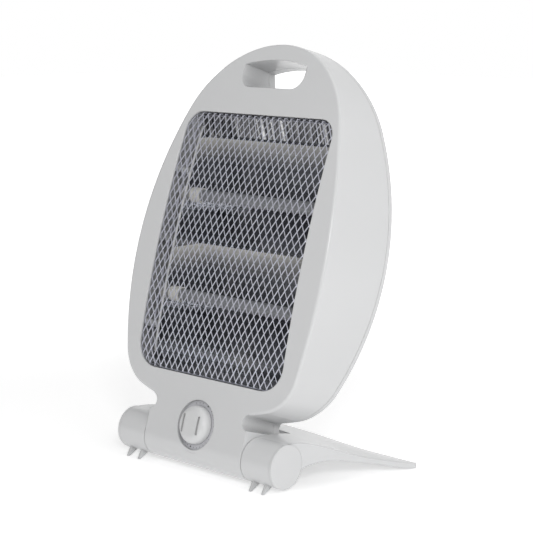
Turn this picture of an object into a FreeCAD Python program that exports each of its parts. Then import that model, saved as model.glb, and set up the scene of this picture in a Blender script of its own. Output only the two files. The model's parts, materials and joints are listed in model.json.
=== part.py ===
import FreeCAD, Part
import math
import operator
import os
import Sketcher

# Tilting quartz heater. Millimetres, +Z up, the front faces -Y, +X to the viewer's right.
# The origin is on the floor, under the middle of the hinge.
# Head pieces are drawn upright about the hinge axis (X across, Y back, Z up) and then leaned back.

doc = FreeCAD.newDocument("quartz_heater")
sheet = doc.addObject("Spreadsheet::Sheet", "sizes")

DIMENSIONS = {
    # hinge and barrels
    "barrel_radius": 20.0,
    "barrel_length": 199.6,
    "neck_barrel_length": 125.4,
    "seam_gap": 0.8,
    "floor_clearance": 3.2,
    "lean_angle": 17.1,
    # egg outline of the head, from four tangent radii
    "head_top": 374.0,
    "head_top_radius": 102.0,
    "head_side_radius": 410.0,
    "head_half_width": 120.5,
    "head_corner_radius": 42.0,
    "head_bottom_radius": 272.0,
    "head_bottom": 30.0,
    "side_draft_angle": 3.5,
    # bowed front and back of the head
    "front_bulge": 7.0,
    "front_peak": 180.0,
    "front_bow_radius": 1111.0,
    "front_blend_radius": 250.0,
    "rear_depth": 55.5,
    "rear_peak": 198.0,
    "rear_bow_radius": 450.0,
    "rear_blend_radius": 60.0,
    "neck_depth": 30.0,
    "neck_overhang": 16.0,
    "neck_top": 60.0,
    "notch_radius": 7.0,
    "wall": 2.5,
    "crease_radius": 2.5,
    "rear_edge_radius": 7.0,
    "seam_depth": 9.0,
    "cover_seam": 0.3,
    # openings of the head
    "window_width": 186.0,
    "window_bottom": 60.2,
    "window_top": 305.3,
    "window_top_corner": 18.0,
    "window_bottom_corner": 24.0,
    "slot_half_width": 39.0,
    "slot_bottom": 331.5,
    "slot_top": 359.0,
    "slot_rise": 5.0,
    "slot_low_corner": 13.0,
    "vent_width": 52.0,
    "vent_height": 4.0,
    "vent_pitch": 13.0,
    "vent_gap": 14.0,
    "vent_low": 96.0,
    "vent_high": 288.0,
    # mesh tray
    "grille_recess": 1.6,
    "grille_depth": 14.4,
    "grille_wire": 0.9,
    "grille_strand": 1.3,
    "grille_pitch_across": 13.0,
    "grille_pitch_up": 23.0,
    "grille_clearance": 0.5,
    # reflector and heating tubes
    "sheet_metal": 0.8,
    "reflector_half_width": 92.0,
    "reflector_back": 44.0,
    "reflector_ridge": 25.0,
    "reflector_lip": 7.0,
    "top_flange_height": 17.0,
    "bottom_flange_height": 11.0,
    "end_plate_setback": 5.0,
    "tube_setback": 7.0,
    "upper_tube_height": 228.6,
    "lower_tube_height": 132.0,
    "tube_radius": 6.0,
    "tube_wall": 1.0,
    "tube_length": 170.0,
    "coil_radius": 3.0,
    "coil_length": 198.0,
    "cap_radius": 7.25,
    "cap_inner_end": 79.0,
    "cap_outer_end": 104.0,
    "terminal_length": 6.0,
    "terminal_width": 6.3,
    "post_radius": 4.0,
    "post_offset": 99.0,
    "post_back": 2.0,
    "low_post_height": 100.0,
    "high_post_height": 250.0,
    "tab_height": 10.0,
    # selector
    "knob_height": 17.3,
    "recess_radius": 22.8,
    "recess_depth": 4.0,
    "dial_thickness": 1.0,
    "knob_radius": 17.5,
    "knob_face_radius": 10.5,
    "knob_proud": 7.0,
    "knob_groove_width": 2.4,
    "knob_groove_length": 17.0,
    "knob_groove_offset": 9.3,
    "knob_groove_depth": 1.6,
    "knob_clearance": 0.4,
    "shaft_radius": 3.0,
    "switch_width": 30.0,
    "switch_height": 26.0,
    "switch_depth": 15.0,
    # fastenings and hinge hardware
    "running_clearance": 0.05,
    "loose_clearance": 0.1,
    "bolt_radius": 4.0,
    "bolt_head_radius": 7.5,
    "bolt_head_height": 5.0,
    "nut_height": 4.7,
    "nut_radius": 7.5,
    "end_wall": 4.0,
    "web_thickness": 8.5,
    "spring_washer_radius": 8.5,
    "spring_washer_thickness": 2.0,
    "friction_washer_radius": 14.0,
    "friction_washer_play": 0.05,
    "end_cap_thickness": 2.5,
    "end_cap_plug_radius": 15.5,
    "end_cap_plug_length": 5.0,
    "screw_radius": 1.6,
    "screw_head_radius": 3.2,
    "screw_head_height": 1.8,
    "screw_length": 11.0,
    # inner electrics
    "tilt_switch_width": 16.0,
    "tilt_switch_height": 20.0,
    "tilt_switch_depth": 12.0,
    "block_width": 26.0,
    "block_height": 16.0,
    "block_depth": 11.0,
    "inlet_height": 74.0,
    "inlet_offset": 0.0,
    "inlet_bore_radius": 3.6,
    "inlet_radius": 6.0,
    "inlet_flange_radius": 8.5,
    "inlet_flange_thickness": 2.0,
    "inlet_length": 14.0,
    "wire_radius": 1.4,
    "wire_spacing": 3.5,
    "wire_height": 43.0,
    # foot
    "foot_depth": 137.0,
    "foot_rear_half_width": 134.0,
    "foot_rim": 6.0,
    "foot_wall": 3.0,
    "foot_lip": 16.0,
    "arch_height": 20.0,
    "foot_crown": 0.6,
    "trough_radius": 47.0,
    "fin_thickness": 3.0,
    "fin_inner": 73.1,
    "fin_outer": 88.2,
    "fin_reach": 18.5,
    "pad_radius": 5.0,
    "pad_thickness": 2.0,
    "pad_proud": 0.8,
    "pad_offset": 100.0,
    # cuts run past the surfaces that they open by this much
    "overrun": 20.0,
}

for row, (alias, value) in enumerate(DIMENSIONS.items(), start=1):
    sheet.set("A%d" % row, alias)
    sheet.set("B%d" % row, str(value))
    sheet.setAlias("B%d" % row, alias)
doc.recompute()

OPERATORS = {"+": operator.add, "-": operator.sub, "*": operator.mul, "/": operator.truediv}


class Size:
    # a number read from the sheet, with the expression that binds a feature to it
    def __init__(self, value, text):
        self.value = value
        self.text = text

    def __float__(self):
        return float(self.value)

    def __add__(self, other):
        return joined(self, "+", other)

    def __radd__(self, other):
        return joined(other, "+", self)

    def __sub__(self, other):
        return joined(self, "-", other)

    def __rsub__(self, other):
        return joined(other, "-", self)

    def __mul__(self, other):
        return joined(self, "*", other)

    def __rmul__(self, other):
        return joined(other, "*", self)

    def __truediv__(self, other):
        return joined(self, "/", other)

    def __neg__(self):
        return joined(0, "-", self)


def text_of(quantity):
    return quantity.text if isinstance(quantity, Size) else str(quantity)


def joined(left, sign, right):
    value = OPERATORS[sign](float(left), float(right))
    return Size(value, "(%s %s %s)" % (text_of(left), sign, text_of(right)))


class Sizes:
    pass


size = Sizes()     # expressions for features that the sheet drives
n = Sizes()        # the same sizes as plain numbers
for alias in DIMENSIONS:
    setattr(size, alias, Size(float(sheet.get(alias)), "sizes." + alias))
    setattr(n, alias, float(sheet.get(alias)))

X_AXIS = FreeCAD.Vector(1, 0, 0)
Y_AXIS = FreeCAD.Vector(0, 1, 0)
Z_AXIS = FreeCAD.Vector(0, 0, 1)
FULL_TURN = 360.0
SIDES = (("left", -1), ("right", 1))

hinge_height = n.barrel_radius + n.floor_clearance
neck_half = n.neck_barrel_length / 2
end_barrel_start = neck_half + n.seam_gap
barrel_half = n.barrel_length / 2
window_half = n.window_width / 2
span = n.head_half_width + n.foot_rear_half_width

IN_PLACE = FreeCAD.Placement()
HEAD = FreeCAD.Placement(FreeCAD.Vector(0, 0, hinge_height), FreeCAD.Rotation(X_AXIS, -n.lean_angle))
ALONG_X = FreeCAD.Rotation(Z_AXIS, X_AXIS)
ALONG_MINUS_X = FreeCAD.Rotation(Z_AXIS, -X_AXIS)
ALONG_Y = FreeCAD.Rotation(Z_AXIS, Y_AXIS)
ALONG_MINUS_Y = FreeCAD.Rotation(Z_AXIS, -Y_AXIS)
sub_parts = []


def at(x, y, z):
    return FreeCAD.Vector(float(x), float(y), float(z))


def sub_part(feature, label, place=IN_PLACE):
    feature.Label = label
    feature.Placement = place
    sub_parts.append(feature)
    return feature


def bind(feature, **expressions):
    for prop, quantity in expressions.items():
        feature.setExpression(prop, text_of(quantity))
    return feature


def shaped(label, shape, place=IN_PLACE):
    feature = doc.addObject("Part::Feature", label)
    feature.Shape = shape
    return sub_part(feature, label, place)


def cylinder(name, radius, height, place=IN_PLACE):
    feature = bind(doc.addObject("Part::Cylinder", name), Radius=radius, Height=height)
    feature.Placement = place
    return feature


def block(name, length, width, height, place=IN_PLACE):
    feature = bind(doc.addObject("Part::Box", name), Length=length, Width=width, Height=height)
    feature.Placement = place
    return feature


def cut(name, base, tool):
    feature = doc.addObject("Part::Cut", name)
    feature.Base = base
    feature.Tool = tool
    return feature


def fuse(name, base, tool):
    feature = doc.addObject("Part::Fuse", name)
    feature.Base = base
    feature.Tool = tool
    return feature


def group(name, features):
    feature = doc.addObject("Part::Compound", name)
    feature.Links = features
    return feature


def ring(name, outer, inner, height, place=IN_PLACE):
    rim = cylinder(name + "_rim", outer, height)
    hole = cylinder(name + "_hole", inner, height)
    feature = cut(name, rim, hole)
    feature.Placement = place
    return feature


def origin_plane(body, role):
    return [plane for plane in body.Origin.OriginFeatures if plane.Role == role][0]


def outline(body, name, role, corners):
    # closed outline of straight lines, each corner held to the sketch's axes by the sheet's sizes
    sketch = body.newObject("Sketcher::SketchObject", name)
    sketch.AttachmentSupport = (origin_plane(body, role), [""])
    sketch.MapMode = "FlatFace"
    points = [at(x, y, 0) for x, y in corners]
    for start, end in zip(points, points[1:] + points[:1]):
        sketch.addGeometry(Part.LineSegment(start, end), False)
    last = len(points) - 1
    for index, corner in enumerate(corners):
        before = last if index == 0 else index - 1
        sketch.addConstraint(Sketcher.Constraint("Coincident", before, 2, index, 1))
        for kind, axis, quantity in (("DistanceX", -2, corner[0]), ("DistanceY", -1, corner[1])):
            if not isinstance(quantity, Size):
                sketch.addConstraint(Sketcher.Constraint("PointOnObject", index, 1, axis))
                continue
            row = sketch.addConstraint(Sketcher.Constraint(kind, -1, 1, index, 1, float(quantity)))
            sketch.setExpression("Constraints[%d]" % row, quantity.text)
    return sketch


def turned(name, corners, place=IN_PLACE):
    # a piece turned about its own Z axis; corners are radius and height
    body = doc.addObject("PartDesign::Body", name)
    sketch = outline(body, name + "_profile", "XZ_Plane", corners)
    spin = body.newObject("PartDesign::Revolution", name + "_turning")
    spin.Profile = sketch
    spin.ReferenceAxis = (sketch, ["V_Axis"])
    spin.Angle = 360
    body.Placement = place
    return body


def polygon_face(points):
    return Part.Face(Part.makePolygon(points + points[:1]))


def arc(start, middle, end):
    return Part.Arc(start, middle, end).toShape()


# Head outline


def egg_wire(offset, back):
    # top, two sides, two low corners and bottom as tangent arcs, all moved out by the offset
    top_centre = n.head_top - n.head_top_radius
    side_across = n.head_half_width - n.head_side_radius
    top_reach = n.head_side_radius - n.head_top_radius
    side_up = top_centre - math.sqrt(top_reach ** 2 - side_across ** 2)
    bottom_centre = n.head_bottom + n.head_bottom_radius
    side_reach = n.head_side_radius - n.head_corner_radius
    bottom_reach = n.head_bottom_radius - n.head_corner_radius
    rise = bottom_centre - side_up
    apart = math.hypot(side_across, rise)
    along = (side_reach ** 2 - bottom_reach ** 2 + apart ** 2) / (2 * apart)
    off_line = math.sqrt(side_reach ** 2 - along ** 2)
    corner_across = side_across - side_across * along / apart + rise * off_line / apart
    corner_up = side_up + rise * along / apart + side_across * off_line / apart
    top_angle = math.atan2(top_centre - side_up, -side_across)
    corner_angle = math.atan2(corner_up - side_up, corner_across - side_across)
    bottom_angle = math.atan2(corner_up - bottom_centre, corner_across)

    def spot(across, up, radius, angle, side=1):
        reach = radius + offset
        return at(side * (across + reach * math.cos(angle)), back, up + reach * math.sin(angle))

    def right_and_left(across, up, radius, start, end):
        angles = (start, (start + end) / 2, end)
        return [arc(*[spot(across, up, radius, angle, side) for angle in angles]) for side in (1, -1)]

    top_start = spot(0, top_centre, n.head_top_radius, top_angle, -1)
    top_end = spot(0, top_centre, n.head_top_radius, top_angle)
    top = arc(top_start, spot(0, top_centre, n.head_top_radius, math.pi / 2), top_end)
    sides = right_and_left(side_across, side_up, n.head_side_radius, top_angle, corner_angle)
    corners = right_and_left(corner_across, corner_up, n.head_corner_radius, corner_angle, bottom_angle)
    bottom_start = spot(0, bottom_centre, n.head_bottom_radius, bottom_angle)
    bottom_end = spot(0, bottom_centre, n.head_bottom_radius, bottom_angle, -1)
    bottom = arc(bottom_start, spot(0, bottom_centre, n.head_bottom_radius, -math.pi / 2), bottom_end)
    return Part.Wire([top, sides[0], corners[0], bottom, corners[1], sides[1]])


def egg_solid(offset):
    # drafted outline, wider towards the back
    draft = math.tan(math.radians(n.side_draft_angle))
    front = -n.barrel_radius - n.front_bulge - n.overrun
    back = n.rear_depth + n.overrun
    wires = [egg_wire(offset + draft * (place + n.barrel_radius), place) for place in (front, back)]
    return Part.makeLoft(wires, True, True)


# Side profiles of the head, front and back: flat neck, hollow blend, then a bow


profile_top = n.head_top + n.overrun
profile_bottom = -n.barrel_radius - n.overrun


class BowedFace:
    def __init__(self, direction, flat, bulge, peak, bow_radius, blend_radius):
        self.direction = direction
        self.flat = flat
        self.peak = peak
        self.bow_radius = bow_radius
        self.blend_radius = blend_radius
        self.bow_centre = flat + bulge - bow_radius
        reach = bow_radius + blend_radius
        drop = math.sqrt(reach ** 2 - (reach - bulge) ** 2)
        self.blend_start = peak - drop
        self.blend_end = self.blend_start + drop * blend_radius / reach

    def depth(self, height):
        if height <= self.blend_start:
            return self.direction * self.flat
        if height <= self.blend_end:
            rise = height - self.blend_start
            hollow = self.blend_radius - math.sqrt(self.blend_radius ** 2 - rise ** 2)
            return self.direction * (self.flat + hollow)
        rise = height - self.peak
        return self.direction * (self.bow_centre + math.sqrt(self.bow_radius ** 2 - rise ** 2))

    def spot(self, height, shift):
        return at(0, self.depth(height) + shift, height)

    def edges(self, shift):
        # the profile as a line and two arcs, moved back by the shift
        blend_middle = (self.blend_start + self.blend_end) / 2
        bow_middle = (self.blend_end + profile_top) / 2
        heights = (profile_bottom, self.blend_start, blend_middle, self.blend_end, bow_middle, profile_top)
        low, start, middle, end, peak, high = [self.spot(height, shift) for height in heights]
        return [Part.LineSegment(low, start).toShape(), arc(start, middle, end), arc(end, peak, high)]


front_face = BowedFace(-1, n.barrel_radius, n.front_bulge, n.front_peak, n.front_bow_radius,
                       n.front_blend_radius)
rear_face = BowedFace(1, n.neck_depth, n.rear_depth - n.neck_depth, n.rear_peak, n.rear_bow_radius,
                      n.rear_blend_radius)


def slab(front, back):
    # everything between two side profiles, across the whole width
    low = Part.LineSegment(lowest(front), lowest(back)).toShape()
    high = Part.LineSegment(highest(front), highest(back)).toShape()
    face = Part.Face(Part.Wire(Part.__sortEdges__(front + back + [low, high])))
    face.translate(at(-span, 0, 0))
    return face.extrude(at(2 * span, 0, 0))


def lowest(edges):
    return min((vertex.Point for edge in edges for vertex in edge.Vertexes), key=lambda point: point.z)


def highest(edges):
    return max((vertex.Point for edge in edges for vertex in edge.Vertexes), key=lambda point: point.z)


def behind_front(start, end):
    return slab(front_face.edges(start), front_face.edges(end))


def neck_solid():
    # front view of the neck, with a round notch on each side under the head
    bottom_centre = n.head_bottom + n.head_bottom_radius
    reach = n.head_bottom_radius + n.notch_radius
    notch_up = bottom_centre - math.sqrt(reach ** 2 - neck_half ** 2)
    meet_across = neck_half * n.head_bottom_radius / reach
    meet_up = bottom_centre - (bottom_centre - notch_up) * n.head_bottom_radius / reach
    front = -n.barrel_radius
    edges = []
    for side in (1, -1):
        low = at(side * neck_half, front, -n.barrel_radius)
        notch_start = at(side * neck_half, front, notch_up - n.notch_radius)
        notch_middle = at(side * (neck_half - n.notch_radius), front, notch_up)
        notch_end = at(side * meet_across, front, meet_up)
        high = at(side * meet_across, front, n.neck_top)
        edges.append(Part.LineSegment(low, notch_start).toShape())
        edges.append(arc(notch_start, notch_middle, notch_end))
        edges.append(Part.LineSegment(notch_end, high).toShape())
    for up, across in ((-n.barrel_radius, neck_half), (n.neck_top, meet_across)):
        edges.append(Part.LineSegment(at(-across, front, up), at(across, front, up)).toShape())
    face = Part.Face(Part.Wire(Part.__sortEdges__(edges)))
    front_view = face.extrude(at(0, n.barrel_radius + n.neck_depth, 0))
    barrel = Part.makeCylinder(n.barrel_radius, n.neck_barrel_length, at(-neck_half, 0, 0), X_AXIS)
    corner = at(-neck_half, front, 0)
    panel = Part.makeBox(n.neck_barrel_length, n.barrel_radius, n.neck_top, corner)
    overhang_depth = n.barrel_radius + n.neck_depth
    overhang_height = n.neck_top - n.neck_overhang
    corner = at(-neck_half, front, n.neck_overhang)
    overhang = Part.makeBox(n.neck_barrel_length, overhang_depth, overhang_height, corner)
    return barrel.fuse([panel, overhang]).common(front_view)


def rounded_window(inset, front, depth):
    # rounded rectangle of the window, drawn in by the inset and run back by the depth
    half = window_half - inset
    low = n.window_bottom + inset
    high = n.window_top - inset
    edges = []
    last = None
    corners = (
        (1, low, n.window_bottom_corner, -90), (1, high, n.window_top_corner, 0),
        (-1, high, n.window_top_corner, 90), (-1, low, n.window_bottom_corner, 180),
    )
    for side, up, radius, start in corners:
        radius = radius - inset
        centre_across = side * (half - radius)
        centre_up = up + radius if up == low else up - radius
        spots = []
        for turn in (start, start + 45, start + 90):
            angle = math.radians(turn)
            spots.append(at(centre_across + radius * math.cos(angle), front,
                            centre_up + radius * math.sin(angle)))
        if last is not None:
            edges.append(Part.LineSegment(last, spots[0]).toShape())
        edges.append(arc(*spots))
        last = spots[2]
    edges.append(Part.LineSegment(last, edges[0].Vertexes[0].Point).toShape())
    return Part.Wire(Part.__sortEdges__(edges)), at(0, depth, 0)


def window_prism(inset, front, depth):
    wire, along = rounded_window(inset, front, depth)
    return Part.Face(wire).extrude(along)


def slot_prism(offset):
    # carrying slot: arched top, straight sides that run into large low corners
    half = n.slot_half_width + offset
    low = n.slot_bottom - offset
    high = n.slot_top + offset
    shoulder = high - n.slot_rise
    corner = n.slot_low_corner + offset
    slant = corner * (1 - math.cos(math.pi / 4))
    front = -n.barrel_radius - n.front_bulge - n.overrun
    edges = [arc(at(-half, front, shoulder), at(0, front, high), at(half, front, shoulder))]
    for side in (1, -1):
        knee = at(side * half, front, low + corner)
        bend = at(side * (half - slant), front, low + slant)
        base = at(side * (half - corner), front, low)
        edges.append(Part.LineSegment(at(side * half, front, shoulder), knee).toShape())
        edges.append(arc(knee, bend, base))
    edges.append(Part.LineSegment(at(corner - half, front, low), at(half - corner, front, low)).toShape())
    wire = Part.Wire(Part.__sortEdges__(edges))
    return Part.Face(wire).extrude(at(0, n.rear_depth - front + n.overrun, 0))


def outline_edges(solid, bowed_face):
    # edges of a bowed face that follow the head's outline, without the joints that run straight across
    found = []
    near = n.cover_seam / 10
    sample_shares = (0.1, 0.5, 0.9)
    for edge in solid.Edges:
        first, last = edge.ParameterRange
        spots = [edge.valueAt(first + (last - first) * share) for share in sample_shares]
        on_face = all(abs(spot.y - bowed_face.depth(spot.z)) < near for spot in spots)
        if on_face and edge.Curve.TypeId != "Part::GeomLine":
            found.append(edge)
    return found


def rods(places, radius, start, end):
    # round posts or holes that run straight back, from one depth to another
    return [Part.makeCylinder(radius, end - start, at(across, start, up), Y_AXIS) for across, up in places]


# Positions that several pieces share

post_places = [(side * n.post_offset, up) for side in (1, -1) for up in (n.low_post_height,
                                                                         n.high_post_height)]
cover_post_places = []
for side in (1, -1):
    cover_post_places.append((side * (n.head_half_width - n.wall - 3 * n.post_radius),
                              n.rear_peak - n.vent_gap))
    cover_post_places.append((side * (n.slot_half_width + 7 * n.post_radius),
                              n.slot_bottom - 2 * n.post_radius))
    cover_post_places.append((side * (neck_half + 2 * n.post_radius), n.neck_top - n.post_radius))
inlet_spot = at(n.inlet_offset, rear_face.depth(n.inlet_height), n.inlet_height)
inlet_normal = (inlet_spot - at(n.inlet_offset, rear_face.bow_centre, n.rear_peak)).normalize()
tube_heights = (("upper", n.upper_tube_height), ("lower", n.lower_tube_height))
dial_floor = n.recess_depth - n.barrel_radius
behind_floor = dial_floor + n.wall
switch_screw_offset = n.switch_width / 2 + n.screw_head_radius
switch_screw_places = [(side * switch_screw_offset, n.knob_height) for side in (1, -1)]


# Housing: one hollow head, parted along a seam near its back


def head_shells():
    head = egg_solid(0).common(slab(front_face.edges(0), rear_face.edges(0)))
    head = head.makeFillet(n.rear_edge_radius, outline_edges(head, rear_face))
    head = head.makeFillet(n.crease_radius, outline_edges(head, front_face))
    neck = neck_solid()
    outer = head.fuse(neck).removeSplitter()
    tunnel = slot_prism(n.wall)
    room = egg_solid(-n.wall).common(slab(front_face.edges(n.wall), rear_face.edges(-n.wall)))
    neck_room_half = neck_half - n.notch_radius - n.wall
    neck_room_low = n.neck_overhang + n.wall
    neck_room_depth = n.barrel_radius + n.neck_depth - 2 * n.wall
    corner = at(-neck_room_half, n.wall - n.barrel_radius, neck_room_low)
    neck_room = Part.makeBox(2 * neck_room_half, neck_room_depth, n.neck_top - neck_room_low, corner)
    barrel_room_half = neck_half - n.end_wall
    barrel_room = Part.makeCylinder(n.barrel_radius - n.wall, 2 * barrel_room_half,
                                    at(-barrel_room_half, 0, 0), X_AXIS)
    passage_half = n.barrel_radius - 2 * n.wall
    corner = at(-2 * passage_half, -passage_half, 0)
    passage = Part.makeBox(4 * passage_half, 2 * passage_half, neck_room_low + n.wall, corner)
    rooms = room.cut(tunnel).fuse([neck_room, barrel_room, passage])
    hollow = outer.cut(rooms).cut(slot_prism(0))
    front = hollow.common(slab(front_face.edges(-n.overrun), rear_face.edges(-n.seam_depth)))
    back = hollow.common(slab(rear_face.edges(n.cover_seam - n.seam_depth), rear_face.edges(n.overrun)))
    return front, back


def front_housing_shape(front):
    window = window_prism(0, -n.barrel_radius - n.front_bulge - n.overrun,
                          n.front_bulge + n.overrun + n.wall * 4)
    front = front.cut(window)
    inside_front = slab(front_face.edges(n.wall / 2), rear_face.edges(-n.wall - n.cover_seam))
    before_tabs = slab(front_face.edges(n.wall / 2), rear_face.edges(0))
    front_start = -n.barrel_radius - n.front_bulge
    reflector_posts = [post.common(before_tabs) for post in rods(post_places, n.post_radius, front_start,
                                                                 n.post_back)]
    cover_posts = [post.common(inside_front) for post in rods(cover_post_places, n.post_radius, front_start,
                                                              n.rear_depth)]
    cup_front = n.wall / 2 - n.barrel_radius
    cup = Part.makeCylinder(n.recess_radius + n.wall, behind_floor - cup_front,
                            at(0, cup_front, n.knob_height), Y_AXIS)
    front = front.fuse(reflector_posts + cover_posts + [cup])
    recess_start = -n.barrel_radius - n.overrun
    recess = Part.makeCylinder(n.recess_radius, n.overrun + n.recess_depth,
                               at(0, recess_start, n.knob_height), Y_AXIS)
    shaft_hole = Part.makeCylinder(n.shaft_radius + n.knob_clearance, n.overrun,
                                   at(0, dial_floor - n.wall, n.knob_height), Y_AXIS)
    pilot = n.screw_radius + n.running_clearance
    holes = [recess, shaft_hole]
    holes += rods(post_places, pilot, n.post_back - n.screw_length, n.post_back + n.overrun)
    holes += rods(switch_screw_places, pilot, dial_floor - n.overrun, behind_floor + n.overrun)
    for across, up in cover_post_places:
        depth = rear_face.depth(up) - n.screw_length - n.wall
        holes += rods([(across, up)], pilot, depth, depth + n.screw_length + n.overrun)
    bore = n.bolt_radius + n.running_clearance
    holes.append(Part.makeCylinder(bore, 2 * n.neck_barrel_length, at(-n.neck_barrel_length, 0, 0), X_AXIS))
    return front.cut(holes)


def rear_cover_shape(back):
    holes = rods(cover_post_places, n.screw_radius + n.loose_clearance, 0, n.rear_depth + n.overrun)
    for across, up in cover_post_places:
        sink = rear_face.depth(up) - n.screw_head_height
        holes += rods([(across, up)], n.screw_head_radius + n.loose_clearance, sink, sink + n.overrun)
    rows = int((n.vent_high - n.vent_low) / n.vent_pitch) + 1
    for row in range(rows):
        up = n.vent_low + row * n.vent_pitch
        for side in (1, -1):
            start = side * n.vent_gap / 2 if side > 0 else -n.vent_gap / 2 - n.vent_width
            corner = at(start + n.vent_height / 2, n.neck_depth, up - n.vent_height / 2)
            straight = n.vent_width - n.vent_height
            slot = Part.makeBox(straight, n.rear_depth, n.vent_height, corner)
            ends = rods([(start + n.vent_height / 2, up), (start + n.vent_height / 2 + straight, up)],
                        n.vent_height / 2, n.neck_depth, n.neck_depth + n.rear_depth)
            holes.append(slot.fuse(ends))
    start = inlet_spot - inlet_normal * n.inlet_length
    holes.append(Part.makeCylinder(n.inlet_radius + n.loose_clearance, 2 * n.inlet_length, start,
                                   inlet_normal))
    return back.cut(holes)


# Mesh tray, reflector and heating tubes


def grille_shape():
    inset = n.grille_clearance
    front = -n.barrel_radius - n.front_bulge - n.overrun
    depth = n.overrun + n.front_bulge + n.grille_depth + n.barrel_radius
    band = window_prism(inset, front, depth).cut(window_prism(inset + n.grille_wire, front, depth))
    band = band.common(behind_front(n.grille_recess, n.grille_recess + n.grille_depth))
    wire, along = rounded_window(inset + n.grille_wire / 2, front, depth)
    edge = Part.Face(wire)
    steep = math.hypot(n.grille_pitch_across, n.grille_pitch_up)
    half_across = n.grille_pitch_across / 2 - n.grille_strand * steep / (2 * n.grille_pitch_up)
    half_up = n.grille_pitch_up / 2 - n.grille_strand * steep / (2 * n.grille_pitch_across)
    middle_up = (n.window_top + n.window_bottom) / 2
    columns = int(window_half / n.grille_pitch_across * 2) + 1
    rows = int((n.window_top - n.window_bottom) / n.grille_pitch_up) + 1
    gaps = []
    for row in range(-rows, rows + 1):
        up = middle_up + row * n.grille_pitch_up / 2
        for column in range(-columns, columns + 1):
            if (row + column) % 2:
                continue
            across = column * n.grille_pitch_across / 2
            corners = [at(across + half_across, front, up), at(across, front, up + half_up),
                       at(across - half_across, front, up), at(across, front, up - half_up)]
            inside = all(edge.isInside(corner, n.grille_wire / 10, True) for corner in corners)
            if inside and edge.distToShape(Part.makePolygon(corners + corners[:1]))[0] < n.grille_wire / 10:
                gaps.append(Part.makePolygon(corners + corners[:1]))
    print("grille gaps", len(gaps))
    holes = Part.makeCompound([Part.Face(gap) for gap in gaps])
    net = edge.cut(holes).Faces[0].extrude(along)
    net = net.common(behind_front(n.grille_recess, n.grille_recess + n.grille_wire))
    return net.fuse(band)


def tray_back_at(height):
    return front_face.depth(height) + n.grille_recess + n.grille_depth


def reflector_edges(depth):
    # slanted flanges at the window's top and bottom, and two curved troughs that meet in a ridge
    top = n.window_top - n.grille_clearance
    bottom = n.window_bottom + n.grille_clearance
    across = -n.reflector_half_width

    def spot(back, up):
        return at(across, back + depth, up)

    top_edge = spot(tray_back_at(top), top)
    top_lip = spot(n.reflector_lip, top - n.top_flange_height)
    ridge = spot(n.reflector_ridge, (n.upper_tube_height + n.lower_tube_height) / 2)
    bottom_lip = spot(n.reflector_lip, bottom + n.bottom_flange_height)
    bottom_edge = spot(tray_back_at(bottom), bottom)
    return [
        Part.LineSegment(top_edge, top_lip).toShape(),
        arc(top_lip, spot(n.reflector_back, n.upper_tube_height), ridge),
        arc(ridge, spot(n.reflector_back, n.lower_tube_height), bottom_lip),
        Part.LineSegment(bottom_lip, bottom_edge).toShape(),
    ]


def reflector_shape():
    near = reflector_edges(0)
    far = reflector_edges(n.sheet_metal)
    ends = [Part.LineSegment(near[place].Vertexes[place].Point, far[place].Vertexes[place].Point).toShape()
            for place in (0, -1)]
    wire = Part.Wire(Part.__sortEdges__(near + far + ends))
    folded = Part.Face(wire).extrude(at(2 * n.reflector_half_width, 0, 0))
    return folded.common(egg_solid(-2 * n.wall))


def reflector_end_shape(side):
    start = side * n.reflector_half_width
    thick = side * n.sheet_metal
    corner_front = -n.barrel_radius - n.front_bulge
    depth = n.reflector_back + 2 * n.sheet_metal
    low = n.window_bottom + n.window_bottom_corner / 2
    high = n.window_top - n.window_top_corner / 2
    plate = Part.makeBox(n.sheet_metal, depth - corner_front, high - low,
                         at(min(start, start + thick), corner_front, low))
    inside_back = rear_face.edges(-n.wall - n.grille_clearance)
    plate_front = n.grille_recess + n.grille_depth + n.end_plate_setback
    plate = plate.common(slab(front_face.edges(plate_front), inside_back))
    plate = plate.common(egg_solid(-n.wall - n.cover_seam))
    tabs = []
    holes = []
    tab_reach = n.post_offset + n.post_radius - n.reflector_half_width
    for across, up in post_places:
        if across * side < 0:
            continue
        left = min(start, start + side * tab_reach)
        tabs.append(Part.makeBox(tab_reach, n.sheet_metal, n.tab_height,
                                 at(left, n.post_back, up - n.tab_height / 2)))
        holes += rods([(across, up)], n.screw_radius + n.loose_clearance, n.post_back - n.wall,
                      n.post_back + n.wall)
    for name, up in tube_heights:
        centre = at(start - n.wall, n.tube_setback, up)
        holes.append(Part.makeCylinder(n.cap_radius + n.loose_clearance, 2 * n.wall, centre, X_AXIS))
    return plate.fuse(tabs).cut(holes)


def head_place(across, back, up, turn=FreeCAD.Rotation()):
    return HEAD.multiply(FreeCAD.Placement(at(across, back, up), turn))


def make_tube(name, up):
    place = head_place(-n.tube_length / 2, n.tube_setback, up, ALONG_X)
    tube = ring(name + "_tube", size.tube_radius, size.tube_radius - size.tube_wall, size.tube_length)
    sub_part(tube, name + "_tube", place)
    coil = cylinder(name + "_coil", size.coil_radius, size.coil_length)
    sub_part(coil, name + "_coil", head_place(-n.coil_length / 2, n.tube_setback, up, ALONG_X))


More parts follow.
